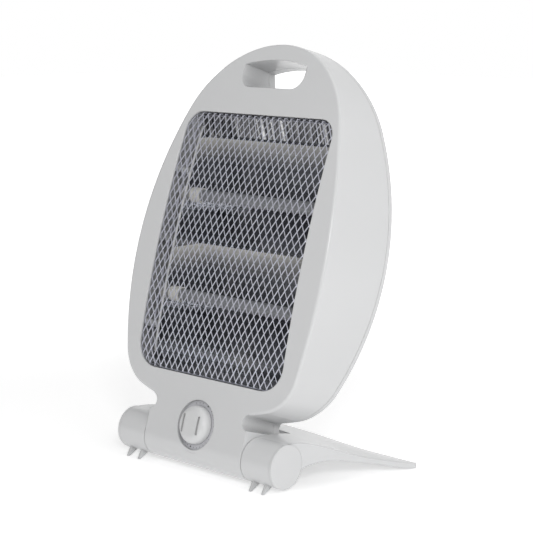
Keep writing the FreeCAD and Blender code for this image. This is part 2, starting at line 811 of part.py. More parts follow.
def make_caps(name, up):
    # ceramic cap: socket for the tube at its inner end, a narrow bore for the wire behind it
    socket = size.tube_radius + size.loose_clearance
    bore = size.coil_radius + size.loose_clearance
    depth = size.cap_outer_end - size.cap_inner_end
    seat = size.tube_length / 2 - size.cap_inner_end
    corners = [
        (socket, 0), (size.cap_radius, 0), (size.cap_radius, depth),
        (bore, depth), (bore, seat), (socket, seat),
    ]
    caps = []
    for side, turn in ((1, ALONG_X), (-1, ALONG_MINUS_X)):
        cap = turned("%s_cap_%d" % (name, side + 2), corners)
        cap.Placement = FreeCAD.Placement(at(side * n.cap_inner_end, 0, 0), turn)
        caps.append(cap)
    sub_part(group(name + "_caps", caps), name + "_caps", head_place(0, n.tube_setback, up))


def make_terminals():
    # flat tabs on the outer ends of the caps
    tabs = []
    for name, up in tube_heights:
        for side in (1, -1):
            start = n.cap_outer_end if side > 0 else -n.cap_outer_end - n.terminal_length
            corner = at(start, n.tube_setback - n.sheet_metal / 2, up - n.terminal_width / 2)
            tabs.append(block("%s_tab_%d" % (name, side + 2), size.terminal_length, size.sheet_metal,
                              size.terminal_width, FreeCAD.Placement(corner, FreeCAD.Rotation())))
    sub_part(group("tube_terminals", tabs), "tube_terminals", HEAD)


# Selector


def knob_shape(skirt):
    # straight skirt, rounded shoulder and flat face, turned about Z, with two grip grooves
    height = skirt + n.knob_proud
    shoulder = n.knob_radius - n.knob_face_radius
    middle = math.cos(math.pi / 4)
    corners = [at(n.knob_face_radius, 0, height), at(0, 0, height), at(0, 0, 0), at(n.knob_radius, 0, 0),
               at(n.knob_radius, 0, skirt)]
    edges = [Part.LineSegment(start, end).toShape() for start, end in zip(corners, corners[1:])]
    bend = at(n.knob_face_radius + shoulder * middle, 0, skirt + n.knob_proud * middle)
    edges.append(arc(corners[-1], bend, corners[0]))
    knob = Part.Face(Part.Wire(Part.__sortEdges__(edges))).revolve(at(0, 0, 0), Z_AXIS, FULL_TURN)
    straight_half = (n.knob_groove_length - n.knob_groove_width) / 2
    floor = height - n.knob_groove_depth
    grooves = []
    for side in (1, -1):
        across = side * n.knob_groove_offset
        corner = at(across - n.knob_groove_width / 2, -straight_half, floor)
        grooves.append(Part.makeBox(n.knob_groove_width, 2 * straight_half, n.overrun, corner))
        for end in (1, -1):
            centre = at(across, end * straight_half, floor)
            grooves.append(Part.makeCylinder(n.knob_groove_width / 2, n.overrun, centre))
    return knob.cut(grooves)


def make_selector():
    dial_back = size.recess_depth - size.barrel_radius
    dial = ring("dial_plate", size.recess_radius - size.loose_clearance,
                size.shaft_radius + size.knob_clearance,
                size.dial_thickness)
    sub_part(dial, "dial_plate", head_place(0, float(dial_back - size.dial_thickness), n.knob_height,
                                            ALONG_Y))

    skirt = size.recess_depth - size.dial_thickness - size.knob_clearance
    knob_back = -n.barrel_radius + float(skirt)
    shaped("knob", knob_shape(float(skirt)), head_place(0, knob_back, n.knob_height, ALONG_MINUS_Y))

    shaft_front = -n.barrel_radius + float(skirt)
    shaft_length = size.recess_depth - skirt + size.wall + size.switch_depth / 2
    shaft = cylinder("switch_shaft", size.shaft_radius, shaft_length)
    sub_part(shaft, "switch_shaft", head_place(0, shaft_front, n.knob_height, ALONG_Y))

    body = block("switch_body", size.switch_width, size.switch_depth, size.switch_height)
    corner = at(-n.switch_width / 2, behind_floor, n.knob_height - n.switch_height / 2)
    body.Placement = FreeCAD.Placement(corner, FreeCAD.Rotation())
    ear_length = size.switch_width + 4 * size.screw_head_radius
    ears = block("switch_ears", ear_length, size.sheet_metal, 2 * size.screw_head_radius)
    corner = at(-float(ear_length) / 2, behind_floor, n.knob_height - n.screw_head_radius)
    ears.Placement = FreeCAD.Placement(corner, FreeCAD.Rotation())
    solid = fuse("switch_solid", body, ears)
    hole = cylinder("switch_bore", size.shaft_radius + size.running_clearance,
                    size.switch_depth / 2 + size.running_clearance)
    hole.Placement = FreeCAD.Placement(at(0, behind_floor, n.knob_height), ALONG_Y)
    bored = cut("switch_bored", solid, hole)
    screw_holes = []
    for index, (across, up) in enumerate(switch_screw_places):
        screw_hole = cylinder("ear_hole_%d" % index, size.screw_radius + size.loose_clearance,
                              size.sheet_metal)
        screw_hole.Placement = FreeCAD.Placement(at(across, behind_floor, up), ALONG_Y)
        screw_holes.append(screw_hole)
    switch = cut("rotary_switch", bored, group("ear_holes", screw_holes))
    sub_part(switch, "rotary_switch", HEAD)


def screw(name, length, place):
    # pan head up, shank down its own -Z axis
    corners = [(0, size.screw_head_height), (size.screw_head_radius, size.screw_head_height),
               (size.screw_head_radius, 0), (size.screw_radius, 0), (size.screw_radius, -length),
               (0, -length)]
    return turned(name, corners, place)


def make_screws():
    back_facing = ALONG_Y
    short = size.wall + size.sheet_metal - size.loose_clearance
    front_end = behind_floor + n.sheet_metal
    screws = [screw("switch_screw_%d" % index, short, FreeCAD.Placement(at(across, front_end, up),
                                                                        back_facing))
              for index, (across, up) in enumerate(switch_screw_places)]
    sub_part(group("switch_screws", screws), "switch_screws", HEAD)
    seat = n.post_back + n.sheet_metal
    length = size.screw_length - size.sheet_metal
    screws = [screw("reflector_screw_%d" % index, length,
                    FreeCAD.Placement(at(across, seat, up), back_facing))
              for index, (across, up) in enumerate(post_places)]
    sub_part(group("reflector_screws", screws), "reflector_screws", HEAD)
    screws = []
    for index, (across, up) in enumerate(cover_post_places):
        seat = rear_face.depth(up) - n.screw_head_height
        place = FreeCAD.Placement(at(across, seat, up), back_facing)
        screws.append(screw("cover_screw_%d" % index, size.screw_length - size.wall, place))
    sub_part(group("cover_screws", screws), "cover_screws", HEAD)


# Inner electrics


def make_electrics():
    inner_back = n.neck_depth - n.wall
    tilt = block("tilt_switch", size.tilt_switch_width, size.tilt_switch_depth, size.tilt_switch_height)
    room_half = neck_half - n.notch_radius - n.wall
    sub_part(tilt, "tilt_switch", head_place(room_half - n.tilt_switch_width,
                                             inner_back - n.tilt_switch_depth,
                                             n.neck_overhang + n.wall))
    terminal = block("terminal_block", size.block_width, size.block_depth, size.block_height)
    sub_part(terminal, "terminal_block", head_place(-room_half, inner_back - n.block_depth,
                                                    n.neck_overhang + n.wall))
    bore = size.inlet_bore_radius
    corners = [(bore, 0), (size.inlet_radius, 0), (size.inlet_radius, size.inlet_length),
               (size.inlet_flange_radius, size.inlet_length),
               (size.inlet_flange_radius, size.inlet_length + size.inlet_flange_thickness),
               (bore, size.inlet_length + size.inlet_flange_thickness)]
    start = inlet_spot - inlet_normal * (n.inlet_length - n.loose_clearance)
    place = head_place(start.x, start.y, start.z, FreeCAD.Rotation(Z_AXIS, inlet_normal))
    sub_part(turned("cord_inlet", corners), "cord_inlet", place)


def tube_along(points, radius):
    # round wire along straight runs, with arcs as large as the shorter run allows
    edges = []
    start = points[0]
    for before, corner, after in zip(points, points[1:], points[2:]):
        into = (corner - before).normalize()
        out = (after - corner).normalize()
        half_turn = into.getAngle(out) / 2
        shorter = min((corner - before).Length, (after - corner).Length)
        trim = shorter * bend_share
        bend = trim / math.tan(half_turn)
        first = corner - into * trim
        last = corner + out * trim
        towards = (out - into).normalize()
        centre = corner + towards * math.hypot(trim, bend)
        edges.append(Part.LineSegment(start, first).toShape())
        edges.append(arc(first, centre - towards * bend, last))
        start = last
    edges.append(Part.LineSegment(start, points[-1]).toShape())
    path = Part.Wire(edges)
    section = Part.Wire(Part.Circle(points[0], points[1] - points[0], radius).toShape())
    return path.makePipeShell([section], True, False)


bend_share = 0.3


def wire_route(side, up, start, layer):
    # up from the neck, under the cover posts, then beside the reflector to a tube's terminal
    step = n.wire_spacing
    deep = n.neck_depth - n.wall - step * (1 + layer)
    low = n.wire_height + step * layer
    beside = side * (n.post_offset - n.wire_radius)
    end = at(side * (n.cap_outer_end + n.terminal_length / 2), n.tube_setback, up)
    return [
        start,
        at(start.x, start.y, low - step / 2),
        at(side * (neck_half + 2 * n.post_radius), deep, low),
        at(beside, deep, n.window_bottom + 2 * n.post_radius),
        at(beside + side * n.wall, deep, up - 2 * n.block_height),
        end + at(0, n.tube_setback, -n.block_height),
        end + at(0, n.wire_radius, -(n.terminal_width + n.wire_radius) / 2),
    ]


def make_wires():
    behind_switch = behind_floor + n.switch_depth / 2
    above_switch = n.knob_height + n.switch_height / 2
    block_left = n.notch_radius + n.wall - neck_half
    block_top = n.neck_overhang + n.wall + n.block_height
    block_middle = n.neck_depth - n.wall - n.block_depth / 2
    live = []
    neutral = []
    for layer, (name, up) in enumerate(tube_heights):
        sideways = n.block_width / 3 * (1 + layer)
        live_start = at(sideways, behind_switch, above_switch)
        live.append(tube_along(wire_route(1, up, live_start, layer), n.wire_radius))
        neutral_start = at(block_left + sideways, block_middle, block_top)
        neutral.append(tube_along(wire_route(-1, up, neutral_start, layer), n.wire_radius))
    shaped("live_wires", Part.makeCompound(live), HEAD)
    shaped("neutral_wires", Part.makeCompound(neutral), HEAD)


# Hinge hardware


def make_hinge():
    for name, side in SIDES:
        outwards = ALONG_X if side > 0 else ALONG_MINUS_X
        web_end = end_barrel_start + n.web_thickness
        washer_end = web_end + n.spring_washer_thickness
        clamped = size.end_wall + size.seam_gap + size.web_thickness
        shank = clamped + size.spring_washer_thickness + size.nut_height
        corners = [(0, 0), (size.bolt_radius, 0), (size.bolt_radius, shank), (size.bolt_head_radius, shank),
                   (size.bolt_head_radius, shank + size.bolt_head_height), (0, shank + size.bolt_head_height)]
        bolt_start = side * (washer_end - float(shank))
        place = FreeCAD.Placement(at(bolt_start, 0, hinge_height), outwards)
        sub_part(turned("hinge_bolt_" + name, corners), "hinge_bolt_" + name, place)

        nut = doc.addObject("PartDesign::Body", "hinge_nut_" + name)
        half = size.nut_radius * math.cos(math.pi / 3)
        flat = size.nut_radius * math.sin(math.pi / 3)
        hexagon = [(size.nut_radius, 0), (half, flat), (-half, flat), (-size.nut_radius, 0), (-half, -flat),
                   (half, -flat)]
        sketch = outline(nut, "nut_outline_" + name, "XY_Plane", hexagon)
        pad = nut.newObject("PartDesign::Pad", "nut_pad_" + name)
        pad.Profile = sketch
        bind(pad, Length=size.nut_height)
        doc.recompute()
        bore = nut.newObject("Sketcher::SketchObject", "nut_bore_outline_" + name)
        bore.AttachmentSupport = (origin_plane(nut, "XY_Plane"), [""])
        bore.MapMode = "FlatFace"
        bore.addGeometry(Part.Circle(FreeCAD.Vector(), Z_AXIS, n.bolt_radius), False)
        bore.addConstraint(Sketcher.Constraint("Coincident", 0, 3, -1, 1))
        row = bore.addConstraint(Sketcher.Constraint("Radius", 0, n.bolt_radius))
        bore.setExpression("Constraints[%d]" % row, text_of(size.bolt_radius + size.running_clearance))
        hole = nut.newObject("PartDesign::Pocket", "nut_bore_" + name)
        hole.Profile = bore
        hole.Type = "ThroughAll"
        hole.Reversed = True
        nut_start = side * (neck_half - n.end_wall - n.nut_height)
        sub_part(nut, "hinge_nut_" + name, FreeCAD.Placement(at(nut_start, 0, hinge_height), outwards))

        spring = ring("spring_washer_" + name, size.spring_washer_radius,
                      size.bolt_radius + size.loose_clearance,
                      size.spring_washer_thickness)
        sub_part(spring, "spring_washer_" + name, FreeCAD.Placement(at(side * web_end, 0, hinge_height),
                                                                    outwards))
        disc = ring("friction_washer_" + name, size.friction_washer_radius,
                    size.bolt_radius + size.loose_clearance,
                    size.seam_gap - 2 * size.friction_washer_play)
        disc_start = side * (neck_half + n.friction_washer_play)
        sub_part(disc, "friction_washer_" + name, FreeCAD.Placement(at(disc_start, 0, hinge_height),
                                                                    outwards))

        plug = size.end_cap_plug_length
        corners = [(0, 0), (size.end_cap_plug_radius, 0), (size.end_cap_plug_radius, plug),
                   (size.barrel_radius, plug),
                   (size.barrel_radius, plug + size.end_cap_thickness), (0, plug + size.end_cap_thickness)]
        cap_start = side * (barrel_half - n.end_cap_thickness - n.end_cap_plug_length)
        place = FreeCAD.Placement(at(cap_start, 0, hinge_height), outwards)
        sub_part(turned("end_cap_" + name, corners), "end_cap_" + name, place)


# Foot


# shares along the foot from the hinge to its rear edge:
# place along the depth, fall of the crown, fall of the shoulders, height of the arch under the side
foot_stations_shares = (
    (0.00, 0.00, 0.00, 0.68),
    (0.15, 0.00, 0.04, 0.85),
    (0.26, 0.04, 0.15, 1.00),
    (0.51, 0.23, 0.51, 0.78),
    (0.77, 0.57, 0.81, 0.34),
    (0.93, 0.87, 0.95, 0.04),
    (1.00, 1.00, 1.00, 0.00),
)
flare_start_share = 0.15


def foot_section(shares, inset, depth):
    # cross-section of the crowned plate; the inset draws the hollow under it
    along, crown_fall, shoulder_fall, arch = shares
    back = along * depth
    flare = max(along - flare_start_share, 0) / (1 - flare_start_share) * depth / n.foot_depth
    half = barrel_half + (n.foot_rear_half_width - barrel_half) * flare - inset
    top = hinge_height + n.barrel_radius
    drop = top - n.foot_rim
    crown = top - drop * crown_fall - inset
    shoulder = top - drop * shoulder_fall - n.foot_crown - inset
    low = -n.overrun if inset else n.pad_proud + n.arch_height * arch
    corners = [at(-half, back, low), at(half, back, low), at(half, back, shoulder), at(-half, back, shoulder)]
    edges = [Part.LineSegment(start, end).toShape() for start, end in zip(corners, corners[1:3])]
    edges.append(arc(corners[2], at(0, back, crown), corners[3]))
    edges.append(Part.LineSegment(corners[3], corners[0]).toShape())
    return Part.Wire(edges)


def foot_shape():
    inner_depth = n.foot_depth - n.foot_lip
    plate = Part.makeLoft([foot_section(shares, 0, n.foot_depth) for shares in foot_stations_shares], True)
    hollow = Part.makeLoft([foot_section(shares, n.foot_wall,
                                         inner_depth) for shares in foot_stations_shares], True)
    trough = Part.makeCylinder(n.trough_radius, 2 * end_barrel_start,
                               at(-end_barrel_start, 0, hinge_height), X_AXIS)
    wall_half = end_barrel_start + n.foot_wall
    trough_wall = Part.makeCylinder(n.trough_radius + n.foot_wall, 2 * wall_half,
                                    at(-wall_half, 0, hinge_height), X_AXIS)
    shell = plate.cut(hollow.cut(trough_wall)).cut(trough)
    solids = []
    cuts = []
    for name, side in SIDES:
        outwards = X_AXIS * side
        length = barrel_half - end_barrel_start
        solids.append(Part.makeCylinder(n.barrel_radius, length,
                                        at(side * end_barrel_start, 0, hinge_height), outwards))
        for place in (n.fin_inner, n.fin_outer):
            solids.append(fin(side * place))
        web_end = end_barrel_start + n.web_thickness
        cap_seat = barrel_half - n.end_cap_thickness
        for radius, start, reach in (
            (n.end_cap_plug_radius + n.loose_clearance, web_end, cap_seat - web_end),
            (n.barrel_radius + n.loose_clearance, cap_seat, span),
            (n.bolt_radius + n.running_clearance, 0, span),
        ):
            cuts.append(Part.makeCylinder(radius, reach, at(side * start, 0, hinge_height), outwards))
        cuts.append(Part.makeCylinder(n.pad_radius + n.loose_clearance, n.pad_thickness,
                                      at(side * n.pad_offset, n.foot_depth - n.foot_lip / 2, 0)))
    return shell.fuse(solids).removeSplitter().cut(cuts)


def fin(across):
    # pointed rib under the front of an end barrel, standing on the floor
    tip_share, front_share, back_share = 0.93, 0.69, 0.25
    reach = n.fin_reach
    front = n.barrel_radius * front_share
    under = n.barrel_radius * back_share
    points = [
        at(0, -reach, 0), at(0, -reach * tip_share, 0),
        at(0, -under, hinge_height - math.sqrt(n.barrel_radius ** 2 - under ** 2) + n.wall),
        at(0, -under, hinge_height - n.barrel_radius / 2),
        at(0, -front + n.wall, hinge_height - math.sqrt(n.barrel_radius ** 2 - front ** 2) + n.wall),
        at(0, -front, hinge_height - math.sqrt(n.barrel_radius ** 2 - front ** 2)),
    ]
    face = polygon_face(points)
    face.translate(at(across - n.fin_thickness / 2, 0, 0))
    return face.extrude(at(n.fin_thickness, 0, 0))


def make_foot():
    shaped("foot", foot_shape())
    pads = []
    for name, side in SIDES:
        pad = cylinder("pad_" + name, size.pad_radius, size.pad_thickness)
        pad.Placement = FreeCAD.Placement(at(side * n.pad_offset, n.foot_depth - n.foot_lip / 2, 0),
                                          FreeCAD.Rotation())
        pads.append(pad)
    sub_part(group("foot_pads", pads), "foot_pads")


front_shell, rear_shell = head_shells()
shaped("front_housing", front_housing_shape(front_shell), HEAD)
shaped("rear_cover", rear_cover_shape(rear_shell), HEAD)
shaped("grille", grille_shape(), HEAD)
shaped("reflector", reflector_shape(), HEAD)
for side_name, side_sign in SIDES:
    shaped("reflector_end_" + side_name, reflector_end_shape(side_sign), HEAD)
for tube_name, tube_up in tube_heights:
    make_tube(tube_name, tube_up)
    make_caps(tube_name, tube_up)
make_terminals()
make_selector()
make_screws()
make_electrics()
make_wires()
make_hinge()
make_foot()

doc.recompute()
for feature in doc.Objects:
    if "Invalid" in feature.State or "Error" in feature.State:
        raise RuntimeError("failed feature: %s %s" % (feature.Label, feature.State))
for feature in sub_parts:
    if feature.Shape.isNull() or not feature.Shape.isValid():
        raise RuntimeError("bad shape: " + feature.Label)

os.makedirs("parts", exist_ok=True)
for feature in sub_parts:
    feature.Shape.exportStep("parts/%s.step" % feature.Label)
    print(feature.Label, len(feature.Shape.Solids), round(feature.Shape.Volume))
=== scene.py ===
import bpy
import bmesh
import json
import math
from mathutils import Matrix, Vector


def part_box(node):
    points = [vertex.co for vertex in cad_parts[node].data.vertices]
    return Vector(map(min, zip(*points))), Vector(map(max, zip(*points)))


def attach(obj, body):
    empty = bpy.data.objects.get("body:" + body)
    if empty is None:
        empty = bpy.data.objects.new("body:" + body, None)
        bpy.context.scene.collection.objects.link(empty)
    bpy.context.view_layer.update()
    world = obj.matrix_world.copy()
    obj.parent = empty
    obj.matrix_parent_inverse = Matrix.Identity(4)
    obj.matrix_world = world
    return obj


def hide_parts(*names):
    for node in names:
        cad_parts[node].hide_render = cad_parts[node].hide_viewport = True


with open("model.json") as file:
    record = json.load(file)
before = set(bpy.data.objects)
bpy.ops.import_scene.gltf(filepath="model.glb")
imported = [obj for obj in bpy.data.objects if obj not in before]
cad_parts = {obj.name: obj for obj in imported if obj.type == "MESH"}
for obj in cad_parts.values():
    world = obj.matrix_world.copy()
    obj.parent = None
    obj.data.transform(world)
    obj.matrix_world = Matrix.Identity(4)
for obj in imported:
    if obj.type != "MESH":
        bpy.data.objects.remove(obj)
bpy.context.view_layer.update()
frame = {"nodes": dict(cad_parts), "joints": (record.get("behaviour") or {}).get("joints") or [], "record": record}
nodes = frame["nodes"]
joints = {joint["name"]: joint for joint in frame["joints"]}

# the head's own axes: across, up along the front panel, and inward through it
across = Vector((1, 0, 0))
inward = Vector(joints["knob_turn"]["axis"]).normalized()
upward = across.cross(inward)
hingeSpot = Vector(joints["head_tilt"]["pos_m"])
headSpace = Matrix.Translation(hingeSpot) @ Matrix((across, upward, inward)).transposed().to_4x4()


class Sock:
    # a socket that takes part in sums, each of which adds a Math node
    def __init__(self, finish, socket):
        self.finish, self.socket = finish, socket

    def sum(self, kind, first, second):
        return self.finish.add("ShaderNodeMath", {"operation": kind}, {0: first, 1: second})

    def __add__(self, other): return self.sum("ADD", self, other)
    def __radd__(self, other): return self.sum("ADD", other, self)
    def __sub__(self, other): return self.sum("SUBTRACT", self, other)
    def __rsub__(self, other): return self.sum("SUBTRACT", other, self)
    def __mul__(self, other): return self.sum("MULTIPLY", self, other)
    def __rmul__(self, other): return self.sum("MULTIPLY", other, self)
    def __gt__(self, other): return self.sum("GREATER_THAN", self, other)


shaderSockets = {"colour": "Base Color", "rough": "Roughness", "metal": "Metallic", "normal": "Normal",
                 "clear": "Transmission Weight", "bend": "IOR", "glow": "Emission Color",
                 "glowLevel": "Emission Strength"}


class Graph:
    # a node tree that is built node by node
    def __init__(self, tree):
        self.tree = tree

    def add(self, kind, settings={}, inputs={}, output=0):
        node = self.tree.nodes.new(kind)
        for name, value in settings.items():
            setattr(node, name, value)
        for name, value in inputs.items():
            self.feed(node.inputs[name], value)
        return Sock(self, node.outputs[output]) if node.outputs else None

    def seen(self):
        # 1 for what the camera sees, also in mirrors and through clear pieces
        kinds = ("Is Camera Ray", "Is Glossy Ray", "Is Transmission Ray")
        camera, glossy, through = (self.add("ShaderNodeLightPath", output=kind) for kind in kinds)
        return camera.sum("MAXIMUM", camera, glossy.sum("MAXIMUM", glossy, through))

    def feed(self, socket, value):
        if isinstance(value, Sock):
            self.tree.links.new(value.socket, socket)
        elif isinstance(value, tuple) and len(value) == 3 and socket.type == "RGBA":
            socket.default_value = (*value, 1)
        else:
            socket.default_value = value


class Finish(Graph):
    # a material around one Principled shader
    def __init__(self, name, **fixed):
        self.material = bpy.data.materials.new(name)
        self.material.use_nodes = True
        super().__init__(self.material.node_tree)
        self.tree.nodes.clear()
        shader = self.add("ShaderNodeBsdfPrincipled")
        self.shader = shader.socket.node
        self.add("ShaderNodeOutputMaterial", {}, {"Surface": shader})
        self.set(**fixed)

    def set(self, **inputs):
        for name, value in inputs.items():
            self.feed(self.shader.inputs[shaderSockets[name]], value)

    def place(self, scale=(1, 1, 1)):
        spot = self.add("ShaderNodeTexCoord", output="Object")
        return self.add("ShaderNodeMapping", {}, {"Vector": spot, "Scale": scale})

    def noise(self, scale, detail=3, stretch=(1, 1, 1)):
        inputs = {"Vector": self.place(stretch), "Scale": scale, "Detail": detail}
        return self.add("ShaderNodeTexNoise", {}, inputs, "Fac")

    def blend(self, share, first, second):
        return self.add("ShaderNodeMix", {"data_type": "RGBA"}, {0: share, 6: first, 7: second}, 2)

    def bump(self, height, strength, depth, under=None):
        inputs = {"Height": height, "Strength": strength, "Distance": depth}
        if under:
            inputs["Normal"] = under
        return self.add("ShaderNodeBump", {}, inputs)

    def band(self, value, low, high):
        # rises from 0 at low to 1 at high, and is 0 beyond
        rise = self.add("ShaderNodeMapRange", {}, {"Value": value, "From Min": low, "From Max": high})
        return rise * (1 - (value > high))

    def softEdge(self, radius):
        return self.add("ShaderNodeBevel", {"samples": 6}, {"Radius": radius})


# finishes

# painted shade in nooks, from ambient occlusion fed into the moulding colour
paintedNookShade = {"reach": 0.03, "keep": 0.45}  # how far a nook is felt for, and how much colour is left in a deep one


def moulding(name, light, shade, rough, edge, alone=True):
    # painted shade: a little darker where the moulding closes in on itself
    skin = Finish(name)
    paintedShade = skin.add("ShaderNodeAmbientOcclusion", {"samples": 6, "only_local": alone},
                    {"Distance": paintedNookShade["reach"]}, "AO")
    tone = skin.blend(skin.noise(7, 4), shade, light)
    skin.set(colour=skin.blend(paintedShade, skin.blend(paintedNookShade["keep"], (0, 0, 0), tone), tone),
             rough=rough + 0.08 * skin.noise(45, 3))
    skin.set(normal=skin.bump(skin.noise(1500, 2), 0.12, 0.00004, skin.softEdge(edge)))
    return skin.material


sheetHeights = {"flange": 0.296, "underFlange": (0.268, 0.2935), "underRidge": (0.166, 0.1915)}


def polishedSheet(name):
    # thin polished sheet, its rolled tone darkened as painted shade, with painted reflection streaks on the top
    # flange and painted pale bands of reflection under the flange and under the ridge
    sheet = Finish(name)
    rolled = sheet.noise(30, 4, (1, 26, 26))
    height = sheet.add("ShaderNodeSeparateXYZ", {}, {0: sheet.place()}, "Z")
    flange = height > sheetHeights["flange"]
    rippleAndStreak = sheet.noise(320, 1, (1, 0.04, 0.04))
    # rolled metal tone, darkened as painted shade for the dark room the sheet reflects
    rolledToneAndShade = sheet.blend(rolled, (0.30, 0.31, 0.34), (0.44, 0.445, 0.46))
    # painted reflection: dark and bright streaks on the top flange; the same noise also ripples the flange's bump
    reflectionStreak = 6 * rippleAndStreak * rippleAndStreak * rippleAndStreak * rippleAndStreak * rippleAndStreak
    streakedReflection = sheet.blend(reflectionStreak, (0.02, 0.02, 0.025), (0.90, 0.90, 0.90))
    # painted reflection: pale, less metallic bands under the flange and under the ridge
    gleamBands = sheet.band(height, *sheetHeights["underFlange"]) + sheet.band(height, *sheetHeights["underRidge"])
    paintedGleam = gleamBands * (0.55 + 0.8 * sheet.noise(9, 2))
    gleamedTone = sheet.blend(paintedGleam, rolledToneAndShade, (0.92, 0.90, 0.85))
    sheet.set(metal=1 - 0.9 * paintedGleam)
    sheet.set(colour=sheet.blend(flange, gleamedTone, streakedReflection),
              rough=0.17 + 0.08 * rolled + 0.06 * sheet.noise(60, 5))
    sheet.set(normal=sheet.bump(sheet.noise(14, 2) + flange * rippleAndStreak, 0.20, 0.002, sheet.softEdge(0.0004)))
    return sheet.material


def platedMesh(name):
    wire = Finish(name, metal=0.3)
    tone = wire.noise(160, 3)
    wire.set(colour=wire.blend(tone, (0.68, 0.69, 0.78), (0.82, 0.83, 0.92)), rough=0.34 + 0.16 * tone)
    wire.set(normal=wire.bump(wire.noise(900, 2), 0.2, 0.00005))
    return wire.material


def milkyQuartz(name):
    tube = Finish(name, clear=0.35, bend=1.46)
    cloud = tube.noise(90, 4, (0.3, 1, 1))
    tube.set(colour=tube.blend(cloud, (0.34, 0.35, 0.38), (0.48, 0.49, 0.51)), rough=0.22 + 0.2 * cloud)
    return tube.material


def firedCeramic(name):
    body = Finish(name)
    speck = body.noise(420, 3)
    body.set(colour=body.blend(speck, (0.90, 0.88, 0.82), (0.97, 0.96, 0.92)), rough=0.36 + 0.2 * speck)
    body.set(normal=body.bump(speck, 0.25, 0.0001, body.softEdge(0.0006)))
    return body.material


def plainMetal(name, dark, light, rough):
    metal = Finish(name, metal=1)
    wear = metal.noise(240, 4)
    metal.set(colour=metal.blend(wear, dark, light), rough=rough + 0.2 * wear)
    metal.set(normal=metal.bump(metal.noise(700, 2), 0.2, 0.00005, metal.softEdge(0.0002)))
    return metal.material


def dullSkin(name, dark, light, rough):
    skin = Finish(name)
    mottle = skin.noise(320, 4)
    skin.set(colour=skin.blend(mottle, dark, light), rough=rough + 0.18 * mottle)
    skin.set(normal=skin.bump(skin.noise(1100, 3), 0.3, 0.00008, skin.softEdge(0.0004)))
    return skin.material


finishes = {
    "white_plastic": moulding("whiteMoulding", (0.803, 0.808, 0.815), (0.778, 0.782, 0.787), 0.20, 0.0012),
    "knob_plastic": moulding("knobMoulding", (0.82, 0.825, 0.83), (0.795, 0.80, 0.80), 0.26, 0.0009),
    # the dial's painted shade also takes in the knob, as a painted shadow round it on the ring
    "dial_plastic": moulding("dialMoulding", (0.86, 0.86, 0.90), (0.82, 0.82, 0.86), 0.38, 0.0004,
                             alone=False),
    "mesh_steel": platedMesh("platedMesh"),
    "reflector_sheet": polishedSheet("polishedSheet"),
    "quartz": milkyQuartz("milkyQuartz"),
    "ceramic": firedCeramic("firedCeramic"),
    "heating_wire": plainMetal("heatingWire", (0.20, 0.18, 0.17), (0.42, 0.38, 0.36), 0.38),
    "terminal_metal": plainMetal("terminalTab", (0.62, 0.56, 0.40), (0.80, 0.74, 0.58), 0.28),
    "dark_plastic": dullSkin("darkMoulding", (0.035, 0.035, 0.037), (0.065, 0.065, 0.068), 0.42),
    "live_insulation": dullSkin("liveSleeve", (0.16, 0.07, 0.03), (0.22, 0.10, 0.05), 0.40),
    "neutral_insulation": dullSkin("neutralSleeve", (0.03, 0.08, 0.26), (0.05, 0.12, 0.34), 0.40),
    "zinc_steel": plainMetal("zincPlate", (0.52, 0.53, 0.55), (0.72, 0.73, 0.75), 0.24),
    "washer_plastic": dullSkin("fibreWasher", (0.46, 0.46, 0.46), (0.56, 0.56, 0.56), 0.55),
    "pad_rubber": dullSkin("padRubber", (0.42, 0.42, 0.41), (0.50, 0.50, 0.49), 0.62),
}
for subpart in frame["record"]["subparts"]:
    mesh = nodes[subpart["node"]].data
    mesh.materials.clear()
    mesh.materials.append(finishes[subpart["material_slot"]])
print("finishes:", len(finishes))


def finishPiece(name, bm, body, slot, smooth=True, place=headSpace):
    bmesh.ops.transform(bm, matrix=place, verts=bm.verts)
    mesh = bpy.data.meshes.new(name)
    bm.to_mesh(mesh)
    bm.free()
    for face in mesh.polygons:
        face.use_smooth = smooth
    piece = bpy.data.objects.new(name, mesh)
    bpy.context.scene.collection.objects.link(piece)
    mesh.materials.append(finishes[slot])
    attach(piece, body)
    print(name, len(mesh.polygons), "faces")
    return piece


# front panel and window, as the solids have them
panel = {"flat": -0.020, "blendStart": 0.042, "blendEnd": 0.067, "blendRadius": 0.250,
         "peak": -0.027, "peakHeight": 0.180, "bowRadius": 1.111}
tray = {"halfWidth": 0.0925, "low": 0.0607, "high": 0.3048, "lowRadius": 0.0235, "highRadius": 0.0175,
        "recess": 0.0016, "dome": 0.0030, "domePower": 0.7, "fold": 0.0022, "band": 0.0130,
        "diamondWide": 0.0076, "diamondHigh": 0.0133, "strandWide": 0.00074, "sheet": 0.0005,
        "twist": math.radians(6), "cuts": 4, "hemWide": 0.0012, "hemSheet": 0.0006, "hemSteps": 160}


def panelDepth(v):
    if v < panel["blendStart"]:
        return panel["flat"]
    if v < panel["blendEnd"]:
        return panel["flat"] - (v - panel["blendStart"]) ** 2 / 2 / panel["blendRadius"]
    return panel["peak"] + (v - panel["peakHeight"]) ** 2 / 2 / panel["bowRadius"]


def trayBorder(u, v):
    # distance outside the tray's outline, and the direction outwards there
    for edge, radius, up in ((tray["high"], tray["highRadius"], 1), (tray["low"], tray["lowRadius"], -1)):
        beside = abs(u) - tray["halfWidth"] + radius
        beyond = (v - edge) * up + radius
        if beside > 0 and beyond > 0:
            away = Vector((math.copysign(beside, u), beyond * up))
            return away.length - radius, away.normalized()
    reach = {(math.copysign(1, u), 0): abs(u) - tray["halfWidth"],
             (0, 1): v - tray["high"], (0, -1): tray["low"] - v}
    side = max(reach, key=reach.get)
    return reach[side], Vector(side)


